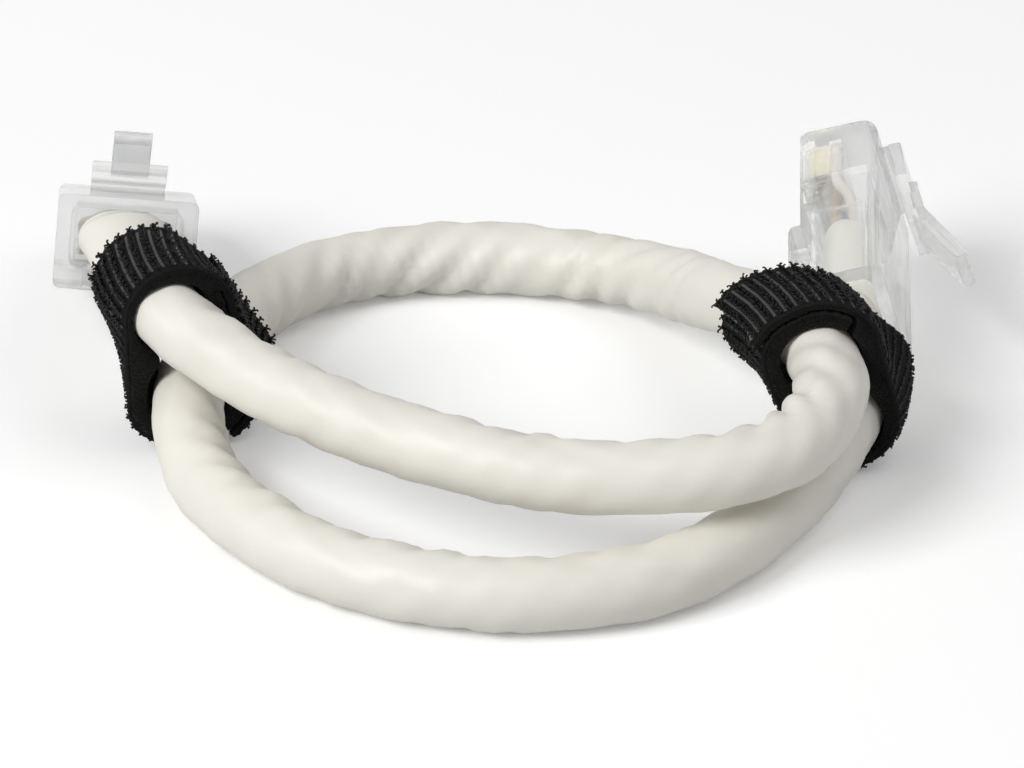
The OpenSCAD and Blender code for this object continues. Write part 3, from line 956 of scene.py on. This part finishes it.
@dataclass
class Tie:
    """A hook-and-loop tie wound round two strands, with its end lapped over its start.

    Angles and turns are in degrees, and lengths in millimetres. The strip is turned by yaw about
    its first strand. worn are the turns where the hooks are pressed flat, to pressed of their
    height. The start of the tape, which the lap covers, has no hooks but for its last covered
    degrees. Between the rows of hooks the tape is smooth and a little lower, by groove. The pile
    begins and ends at a turn and fades over another. Hooks, fibres and weave draw from seeds of
    their own.
    """

    name: str
    path: CablePath
    strands: tuple[Strand, ...]
    y0: float
    start: float
    overlap: float
    winding: Winding
    seed: int
    worn: tuple[Span, ...]
    fuzz_seed: int = 9
    weave_seed: int = 50
    yaw: float = 0.0
    yaw_reach: Span = (-4.0, 7.0)
    pressed: float = 0.4
    width: float = 6.4
    tape_t: float = 0.35
    lining_t: float = 0.45
    bond_t: float = 0.02
    room: float = 0.2
    lap_room: float = 0.12
    lap_from: float = 225.0
    per_degree: int = 2
    rough_samples: int = 400
    slices: int = 15
    lowest: float = 0.06
    row_pitch: float = 1.0
    row_steps: int = 8
    groove: float = 0.09
    groove_from: float = 2.2
    groove_over: float = 1.4
    strip_from: float = 2.9
    weave: float = 0.02
    jag: float = 0.14
    hook_step: float = 0.33
    hook_h: float = 0.46
    hook_heights: Span = (0.8, 1.1)
    hook_lowest: float = 0.08
    hook_least: float = 0.1
    hanging: float = 0.2
    row_jitter: float = 0.06
    step_jitter: float = 0.16
    twist: float = 0.3
    tilt: Span = (0.14, 0.1)
    lost: float = 0.03
    covered: float = 4.0
    selvage: float = 0.06
    fibres: int = 900
    fibre_lengths: Span = (0.15, 0.42)
    fibre_lowest: float = 0.09
    fibre_spread: Span = (0.5, 0.6)
    fibre_roots: Span = (0.0, 0.3)
    fibre_inset: float = 0.03
    front_share: float = 0.6
    pile: float = 2.2
    pile_gap: float = 0.1
    pile_start: Span = (-6.0, 8.0)
    pile_end: Span = (350.0, 10.0)
    brushed: float = 0.07
    hem: float = 0.12

    def outline(self, y: float, share: float, normal: Points) -> tuple[Points, Points]:
        """The line round the strands in the plane y.

        Args:
            y: The plane.
            share: Its share of the tie's width.
            normal: The outward direction at each turn, across and up.

        Returns:
            The points, across and up, and the slope of the strand that each lies on.
        """
        best, slope = np.zeros_like(normal), np.zeros_like(normal)
        held = np.full(len(normal), -np.inf)
        r = self.path.cable_d / 2 + self.room
        for strand in self.strands:
            mid, run = self.path.crossing(strand.window, y)
            w = run[[0, 2]] / run[1]
            k = normal @ w
            oval = (normal + w[None] * k[:, None]) * (r / np.sqrt(1 + k * k))[:, None]
            for spare in (strand.slack.at(share), np.zeros(2)):
                far = mid[[0, 2]] + spare + oval
                reach = (far * normal).sum(-1)
                ahead = (reach > held)[:, None]
                best, slope = np.where(ahead, far, best), np.where(ahead, w, slope)
                held = np.maximum(reach, held)
        return best, slope

    def band(self, depth: float, count: int) -> tuple[Points, Points]:
        """The strip's surface at one depth.

        Args:
            depth: The distance out from the innermost surface.
            count: The samples along the strip.

        Returns:
            A grid of points, along the strip and across it, and the turn of each sample
            about the strands.
        """
        full = FULL_TURN + self.overlap
        turn = np.linspace(0, full, self.per_degree * int(full) + 1)
        layer = self.lining_t + self.bond_t + self.tape_t + self.lap_room
        grow = layer * smooth((turn - self.lap_from) / (FULL_TURN - self.lap_from))
        a = np.radians(self.start + self.winding.value * turn)
        normal = np.stack([np.cos(a), np.sin(a)], -1)
        rows, turns = [], []
        for share in np.linspace(0, 1, self.slices):
            y = self.y0 + self.width * share
            flat, slope = self.outline(y, share, normal)
            flat = flat + normal * (depth + grow)[:, None]
            pivot = self.path.crossing(self.strands[0].window, y)[0][0]
            back = self.yaw * np.clip(flat[:, :1] - pivot, *self.yaw_reach)
            flat = flat + slope * back
            line = np.stack([flat[:, 0], y + back[:, 0], flat[:, 1]], -1)
            along = travelled(line)
            even = np.linspace(0, along[-1], count)
            rows.append(np.stack([np.interp(even, along, v) for v in line.T], -1))
            turns.append(np.interp(even, along, turn))
        return np.stack(rows, 1), np.mean(turns, axis=0)

    def slab(self, inner: Points, outer: Points) -> tuple[Points, Faces]:
        """A closed strip between two grids of points.

        Args:
            inner: The grid of the inner surface.
            outer: The grid of the outer surface.

        Returns:
            The points and the faces; the outer surface's faces come first.
        """
        n, m = inner.shape[:2]
        points = np.concatenate([inner.reshape(-1, 3), outer.reshape(-1, 3)])
        i, j = np.meshgrid(np.arange(n - 1), np.arange(m - 1), indexing="ij")
        a = (i * m + j).ravel()
        shell = n * m
        quad = np.stack([a, a + 1, a + m + 1, a + m], -1)
        faces = (quad[:, ::-1] + shell).tolist() + quad.tolist()
        along, across = np.arange(n - 1) * m, np.arange(m - 1)
        for a, step, flip in ((along, m, False), (along + m - 1, m, True),
                              (across, 1, True), (across + (n - 1) * m, 1, False)):
            side = np.stack([a, a + step, a + step + shell, a + shell], -1)
            faces += (side[:, ::-1] if flip else side).tolist()
        if self.winding is Winding.CLOCKWISE:
            faces = [f[::-1] for f in faces]
        return points, [tuple(f) for f in faces]

    def filaments(self, one: Filament, base: Points, up: Points, ahead: Points,
                  side: Points) -> tuple[Points, Faces]:
        """Many short bent filaments.

        Args:
            one: The form of each.
            base: Where each stands.
            up: The direction that each stands in, with its height as its length.
            ahead: The direction that each bends in, with the same length.
            side: The direction across both.

        Returns:
            The points and faces of all of them.
        """
        shape, radii = np.array(one.line), np.array(one.radii)
        line = base[:, None] + shape[None, :, :1] * ahead[:, None] + shape[None, :, 1:2] * up[:, None]
        lift(line, self.fibre_lowest)
        run = unit(np.gradient(line, axis=1))
        across = np.broadcast_to(unit(side)[:, None], run.shape)
        normal = unit(np.cross(run, across))
        angle = angles(one.sides)[:, None]
        ring = radii[None, :, None, None] * (across[:, :, None] * np.cos(angle)
                                             + normal[:, :, None] * np.sin(angle))
        points = line[:, :, None] + ring
        count, rings = line.shape[:2]
        first = np.arange(count)[:, None] * rings * one.sides
        walls = (np.array(tube_faces(rings, one.sides))[None] + first[:, None]).reshape(-1, 4)
        tips = first + (rings - 1) * one.sides + np.arange(one.sides)
        return points.reshape(-1, 3), [tuple(f) for f in walls.tolist() + tips.tolist()]

    def axes(self, grid: Points) -> tuple[Points, Points, Points]:
        """The directions of a strip at each point of its grid.

        Args:
            grid: The strip's points.

        Returns:
            The directions along the strip, across it and out of it.
        """
        run = unit(np.gradient(grid, axis=0))
        width = unit(np.gradient(grid, axis=1))
        return run, width, unit(np.cross(run, width)) * (-self.winding.value)

    def standing(self, turn: Points) -> Points:
        """Whether the hooks still stand at each turn, outside the worn parts."""
        return np.all([(turn < low) | (turn > high) for low, high in self.worn], axis=0)

    def hooks(self, grid: Points, turn: Points) -> tuple[Points, Faces]:
        """The hooks, which stand in rows across the tape and curl both ways.

        Args:
            grid: The tape's outer surface.
            turn: The turn of each of its rows of points.

        Returns:
            The points and faces of all hooks.
        """
        rng = np.random.default_rng(self.seed)
        n, m = grid.shape[:2]
        run, width, out = self.axes(grid)
        across = int((self.width - 2 * self.selvage) / self.hook_step)
        rows = (n - 1) // self.row_steps
        r, k, facing = (v.ravel() for v in np.meshgrid(
            np.arange(rows), np.arange(across), (-1.0, 1.0), indexing="ij"))
        count = len(r)
        s = (r + 0.5 + rng.uniform(-self.row_jitter, self.row_jitter, count)) * self.row_steps
        c = k + 0.5 + rng.uniform(-self.step_jitter, self.step_jitter, count)
        c = (self.selvage + c * self.hook_step) / self.width * (m - 1)
        i, j = s.astype(int), c.astype(int)
        base = (grid[i, j] + (grid[i + 1, j] - grid[i, j]) * (s - i)[:, None]
                + (grid[i, j + 1] - grid[i, j]) * (c - j)[:, None])
        up, fore, side = out[i, j], run[i, j], width[i, j]
        h = self.hook_h * rng.uniform(*self.hook_heights, count)
        h = h * np.where(self.standing(turn[i]), 1, self.pressed)
        above = (base[:, 2] - self.hook_lowest) / np.maximum(-up[:, 2], self.hanging)
        size = np.minimum(h, np.maximum(self.hook_least, above))[:, None]
        yaw = rng.normal(0, self.twist, count)[:, None]
        ahead = unit(fore * np.cos(yaw) * facing[:, None] + side * np.sin(yaw))
        lean = up + side * rng.normal(0, self.tilt[0], count)[:, None]
        lean = lean + fore * rng.normal(0, self.tilt[1], count)[:, None]
        keep = (turn[i] > self.overlap - self.covered) & (rng.random(count) > self.lost)
        return self.filaments(HOOK_FORM, base[keep], (lean * size)[keep], (ahead * size)[keep],
                              np.cross(ahead, lean)[keep])

    def fuzz(self, grid: Points) -> tuple[Points, Faces]:
        """Loose fibres along both edges of the strip.

        Args:
            grid: The surface that they grow from.

        Returns:
            The points and faces of all fibres.
        """
        rng = np.random.default_rng(self.seed + self.fuzz_seed)
        count = self.fibres
        n, m = grid.shape[:2]
        run, width, out = self.axes(grid)
        i = rng.integers(1, n - 1, count)
        front = rng.random(count) < self.front_share
        j = np.where(front, 0, m - 1)
        edge = np.where(front, -1.0, 1.0)[:, None] * width[i, j]
        up = unit(edge + rng.normal(0, self.fibre_spread[0], (count, 3)))
        up = up * rng.uniform(*self.fibre_lengths, (count, 1))
        ahead = unit(run[i, j] + rng.normal(0, self.fibre_spread[1], (count, 3)))
        ahead = ahead * np.linalg.norm(up, axis=1)[:, None]
        root = out[i, j] * rng.uniform(*self.fibre_roots, (count, 1))
        base = grid[i, j] - root - edge * self.fibre_inset
        return self.filaments(FIBRE_FORM, base, up, ahead, np.cross(up, ahead))

    def spare(self, grid: Points) -> Points:
        """The free distance from each point of a grid to the strands.

        Args:
            grid: The points.

        Returns:
            The distances, in millimetres.
        """
        near = np.full(grid.shape[:2], np.inf)
        for low, high in {strand.window for strand in self.strands}:
            for point in self.path.line[(self.path.param >= low) & (self.path.param < high)]:
                near = np.minimum(near, np.linalg.norm(grid - point, axis=-1))
        return near - self.path.cable_d / 2

    def tape(self, count: int, rng: np.random.Generator, finish: dict[TieNylon, Material]) -> Points:
        """Makes the hook tape and its hooks.

        Args:
            count: The samples along the strip.
            rng: The source of its unevenness.
            finish: The nylons.

        Returns:
            The turn of each sample about the strands.
        """
        depth = self.lining_t + self.bond_t
        (inner, _), (outer, turn) = self.band(depth, count), self.band(depth + self.tape_t, count)
        ridge = np.abs(np.arange(count) % self.row_steps - self.row_steps / 2)
        rib = -self.groove * smooth((ridge - self.groove_from) / self.groove_over)[:, None]
        rib = rib + self.weave * rng.normal(size=outer.shape[:2])
        outer = outer + unit(outer - inner) * rib[..., None]
        torn = self.axes(outer)[0][-1:] * (self.jag * rng.normal(size=(1, self.slices, 1)))
        for grid in (inner, outer):
            grid[-1:] += torn
            lift(grid, self.lowest)
        points, faces = self.slab(inner, outer)
        piece = mesh_piece(f"tie_{self.name}_tape", self.path.model(points), faces,
                           finish[TieNylon.TAPE])
        piece.data.materials.append(finish[TieNylon.STRIP])
        width = self.slices - 1
        strip = (ridge > self.strip_from) & self.standing(turn)
        for f in range((count - 1) * width):
            if strip[f // width] and strip[f // width + 1] and 0 < f % width < width - 1:
                piece.data.polygons[f].material_index = 1
        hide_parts(f"tie_{self.name}_hook_tape")
        points, faces = self.hooks(outer, turn)
        mesh_piece(f"tie_{self.name}_hooks", self.path.model(points), faces,
                   finish[TieNylon.HOOK])
        return turn

    def lining(self, turn: Points, rng: np.random.Generator, material: Material) -> None:
        """Makes the loop lining, whose pile fills the room beside the strands, and its fuzz.

        Args:
            turn: The turn of each sample about the strands.
            rng: The source of its unevenness.
            material: The lining's nylon.
        """
        count = len(turn)
        (inner, _), (outer, _) = self.band(0.0, count), self.band(self.lining_t, count)
        (start, rise), (end, fall) = self.pile_start, self.pile_end
        laid = smooth((turn - start) / rise) * (1 - smooth((turn - end) / fall))
        room = np.clip(self.spare(inner) - self.pile_gap, 0, self.pile) * laid[:, None]
        soft = self.brushed * rng.random(size=inner.shape[:2]) - room
        soft[:, 0] += self.hem
        soft[:, -1] += self.hem
        inner = inner + unit(outer - inner) * soft[..., None]
        for grid in (inner, outer):
            lift(grid, self.lowest)
        points, faces = self.slab(inner, outer)
        piece = mesh_piece(f"tie_{self.name}_lining", self.path.model(points), faces,
                           material)
        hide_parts(f"tie_{self.name}_loop_lining")
        points, faces = self.fuzz(outer)
        mesh_piece(f"tie_{self.name}_fuzz", self.path.model(points), faces, material)

    def build(self, finish: dict[TieNylon, Material]) -> None:
        """Makes the tape, its hooks, its lining and its loose fibres.

        Args:
            finish: The nylons.
        """
        rng = np.random.default_rng(self.seed + self.weave_seed)
        rough, _ = self.band(self.lining_t + self.bond_t + self.tape_t, self.rough_samples)
        length = travelled(rough[:, self.slices // 2])[-1]
        rows = int(round(length / self.row_pitch))
        turn = self.tape(rows * self.row_steps + 1, rng, finish)
        self.lining(turn, rng, finish[TieNylon.LINING])
        log.info("tie %s: %d rows of hooks on %.1f mm", self.name, rows, length)


# ---------------------------------------------------------------- plugs


class WireTint(Enum):
    """The insulation of the eight conductors, in their order in a plug."""

    WHITE_ORANGE = (0.80, 0.74, 0.66)
    ORANGE = (0.50, 0.31, 0.19)
    WHITE_GREEN = (0.74, 0.79, 0.72)
    BLUE = (0.16, 0.26, 0.46)
    WHITE_BLUE = (0.72, 0.75, 0.80)
    GREEN = (0.17, 0.36, 0.22)
    WHITE_BROWN = (0.78, 0.73, 0.68)
    BROWN = (0.27, 0.18, 0.12)


@dataclass
class Plug:
    """A clear plug: its conductors, and the finishes of its CAD solids.

    The conductors leave the jacket in columns and rows, fan out and end side by side. Lengths
    along the plug count from its rear face.
    """

    name: str
    path: CablePath
    wire_d: float = 0.92
    wire_sides: int = 16
    bare: float = 0.01
    pitch: float = 1.02
    wire_z: float = -0.3
    columns: tuple[float, ...] = (-1.5, -1.5, -0.5, -0.5, 0.5, 0.5, 1.5, 1.5)
    rows: tuple[int, ...] = (1, -1, 1, -1, -1, 1, -1, 1)
    column_gap: float = 0.1
    row_gap: float = 0.35
    head: Span = (9.0, 9.7)
    fan: Span = (10.25, 15.9)
    fan_points: int = 22
    tail: Span = (16.4, 20.7)
    tail_points: int = 5
    swerve: float = 0.62

    def wire_line(self, i: int) -> Points:
        """The middle line of a conductor.

        Args:
            i: The conductor's number, from 1.

        Returns:
            Its points, in the plug's millimetres.
        """
        x0 = self.columns[i - 1] * (self.wire_d + self.column_gap)
        z0 = self.rows[i - 1] * (self.wire_d / 2 + self.row_gap)
        x1, z1 = (i - (WIRES + 1) / 2) * self.pitch, self.wire_z
        y = np.linspace(*self.fan, self.fan_points)
        s = (y - self.fan[0]) / (self.fan[1] - self.fan[0])
        x = x0 + (x1 - x0) * smooth(s / self.swerve)
        z = z0 + (z1 - z0) * smooth((s - 1 + self.swerve) / self.swerve)
        head = np.array([[x0, t, z0] for t in self.head])
        tail = np.array([[x1, t, z1] for t in np.linspace(*self.tail, self.tail_points)])
        return np.concatenate([head, np.stack([x, y, z], -1), tail])

    def wire(self, i: int, material: Material) -> None:
        """Makes a conductor.

        Args:
            i: The conductor's number, from 1.
            material: The insulation's finish.
        """
        line, n = self.wire_line(i), self.wire_sides
        rings = swept_rings(line, self.wire_d / 2 - self.bare, n)
        last = (len(line) - 1) * n
        faces = tube_faces(len(line), n) + [tuple(range(n))[::-1], tuple(range(last, last + n))]
        points = self.path.model(self.path.pose[self.name].placed(rings))
        piece = mesh_piece(f"plug_{self.name}_wire_{i}", points, faces, material)
        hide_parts(f"plug_{self.name}_conductor_{i}")

    def build(self, clear: Material, latch: Material, gold: Material,
              tints: dict[WireTint, Material]) -> None:
        """Makes the conductors and dresses the housing, latch and contacts.

        Args:
            clear: The housing's finish.
            latch: The latch's finish.
            gold: The contacts' finish.
            tints: The insulation finishes.
        """
        for i, tint in enumerate(WireTint, 1):
            self.wire(i, tints[tint])
            dress(f"plug_{self.name}_contact_{i}", gold)
        dress(f"plug_{self.name}_housing", clear)
        dress(f"plug_{self.name}_latch", latch)
        log.info("plug %s dressed", self.name)


# ---------------------------------------------------------------- studio


@dataclass(frozen=True)
class Lamp:
    """A square soft lamp that looks at the object."""

    name: str
    place: Place
    size: float
    power: float

    def build(self) -> None:
        """Makes the lamp."""
        data = bpy.data.lights.new(self.name, "AREA")
        data.shape = "SQUARE"
        data.size = self.size
        data.energy = self.power
        lamp = bpy.data.objects.new(self.name, data)
        lamp.location = self.place
        lamp.rotation_euler = (-Vector(self.place)).to_track_quat("-Z", "Y").to_euler()
        bpy.context.scene.collection.objects.link(lamp)


@dataclass
class Studio:
    """The floor, the lamps and the white surroundings."""

    lamps: tuple[Lamp, ...] = (Lamp("key", (-0.58, -0.43, 0.63), 0.5, 6.2),
                               Lamp("fill", (0.5, -0.1, 0.8), 0.6, 1.5))
    world_strength: float = 0.28
    floor_half: float = 4.0
    floor_drop: float = 0.00002
    floor_colour: Colour = (0.98, 0.98, 0.98)
    floor_bounce: Colour = (0.68, 0.68, 0.68)
    floor_glow: float = 0.18

    def floor(self) -> None:
        """Makes the plain pale floor, which keeps the soft shadow."""
        mesh = bpy.data.meshes.new("floor")
        s = self.floor_half
        mesh.from_pydata([(-s, -s, 0), (s, -s, 0), (s, s, 0), (-s, s, 0)], [], [(0, 1, 2, 3)])
        obj = bpy.data.objects.new("floor", mesh)
        obj.location.z = -self.floor_drop
        bpy.context.scene.collection.objects.link(obj)
        g = MaterialGraph("floor_white")
        g.shade(Base_Color=self.floor_colour, Roughness=0.9, Specular_IOR_Level=0.0)
        matt = Wire(g, g.shader.outputs[0])
        dim = g.node("ShaderNodeBsdfDiffuse", {}, {"Color": self.floor_bounce})
        glow = g.node("ShaderNodeEmission", {}, {"Color": WHITE, "Strength": self.floor_glow})
        pale = g.node("ShaderNodeAddShader", {}, {0: matt, 1: glow})
        g.surface(g.node("ShaderNodeMixShader", {}, {0: g.seen(), 1: dim, 2: pale}))
        mesh.materials.append(g.material)

    def world(self) -> None:
        """Makes the white surroundings."""
        world = bpy.data.worlds.new("studio")
        bpy.context.scene.world = world
        world.use_nodes = True
        g = Graph(world.node_tree)
        back = g.own("BACKGROUND")
        g.feed(back.inputs["Color"], WHITE)
        g.feed(back.inputs["Strength"], g.seen().between(self.world_strength, 1.0))

    def build(self) -> None:
        """Makes the whole studio."""
        bpy.context.scene.view_settings.view_transform = "Standard"
        self.floor()
        self.world()
        for lamp in self.lamps:
            lamp.build()


# ---------------------------------------------------------------- the whole


def ties(path: CablePath) -> tuple[Tie, Tie]:
    """The two ties.

    Args:
        path: The cable's path.

    Returns:
        The left tie and the right one.
    """
    left = (Strand((2, 12), Slack((0.7, -0.2), (2.6, -2.6))),
            Strand((40, 56), Slack((1.2, 0.0), (0.6, 0.0))),
            Strand((40, 56), Slack((-0.9, 0.0), (-0.6, 0.0))))
    right = (Strand((20, 36), Slack((0.0, 0.6), (0.0, 0.3))),
             Strand((20, 36), Slack((-1.0, 0.0), (-0.7, 0.0))),
             Strand((62, path.last - 2)))
    return (Tie("left", path, left, y0=0.9, start=40, overlap=100, winding=Winding.CLOCKWISE,
                seed=21, worn=((166, 214), (340, 361), (425, 465)), yaw=0.28),
            Tie("right", path, right, y0=-2.6, start=55, overlap=105,
                winding=Winding.ANTICLOCKWISE, seed=22, worn=((128, 212), (236, 342))))


def dress_core(tints: dict[WireTint, Material]) -> None:
    """Dresses the separator and the pairs inside the jacket.

    Args:
        tints: The insulation finishes.
    """
    dress("separator", InsulationFinish("separator", (0.7, 0.7, 0.68)).make())
    for tint in (WireTint.BLUE, WireTint.ORANGE, WireTint.GREEN, WireTint.BROWN):
        dress("pair_" + tint.name.lower(), tints[tint])


def main() -> None:
    """Builds the camera, the cable, the ties, the plugs and the studio."""
    logging.basicConfig(level=logging.INFO, format="%(name)s: %(message)s")
    View().build()
    path = CablePath()
    Jacket(path).build(JacketFinish().make())
    nylons = {kind: kind.value.make() for kind in TieNylon}
    for tie in ties(path):
        tie.build(nylons)
    clear = {
        "a": ClearFinish("plug_frosted", (0.89, 0.9, 0.895), (0.79, 0.8, 0.79), dull=0.09,
                         body=0.8, milk=0.27).make(),
        "b": ClearFinish("plug_clear").make(),
    }
    latch = ClearFinish("latch_clear", dull=0.06, milk=0.28).make()
    gold = GoldFinish().make()
    tints = {tint: InsulationFinish(tint.name.lower(), tint.value).make() for tint in WireTint}
    for name in PLUGS:
        Plug(name, path).build(clear[name], latch, gold, tints)
    dress_core(tints)
    Studio().build()


if __name__ == "__main__":
    main()
